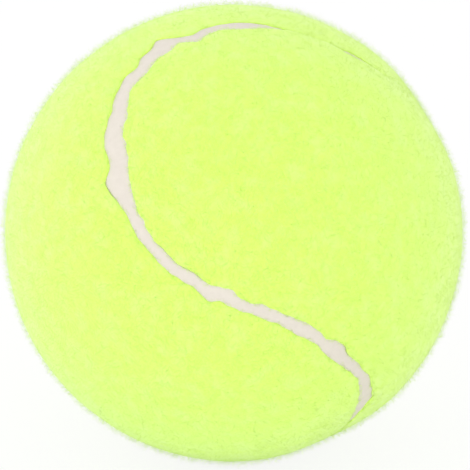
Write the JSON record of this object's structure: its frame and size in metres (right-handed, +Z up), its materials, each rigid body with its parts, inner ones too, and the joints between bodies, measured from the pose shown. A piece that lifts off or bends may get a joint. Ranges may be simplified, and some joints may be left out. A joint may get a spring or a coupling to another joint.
{
  "type": "tennis ball",
  "caption": "Tennis ball: hollow two-cup rubber core under two felt panels that wrap each other, with a rubber seam bead between them.",
  "frame": {"origin": "centre of the ball", "axes": "+Z up as the ball lies in the picture, -Y towards the place that the picture is taken from, +X to the picture's right; the seam is turned in this frame as the picture shows it"},
  "size_m": [0.066, 0.066, 0.066],
  "materials": {
    "core_rubber": "moulded dark rubber, buffed on the outside",
    "joint_cement": "cured tan rubber cement",
    "cover_cement": "thin cured coat of pale rubber cement",
    "woven_backing": "undyed woven cotton",
    "felt_nap": "optic yellow wool and nylon nap, teased and lightly matted",
    "seam_rubber": "off-white cured rubber, smooth and slightly uneven"
  },
  "bodies": {
    "root": {"core_cup_upper": "core_rubber", "core_cup_lower": "core_rubber", "core_joint_cement": "joint_cement", "panel_one_cement": "cover_cement", "panel_two_cement": "cover_cement", "panel_one_backing": "woven_backing", "panel_two_backing": "woven_backing", "panel_one_nap": "felt_nap", "panel_two_nap": "felt_nap", "seam_strip": "seam_rubber"}
  },
  "joints": []
}
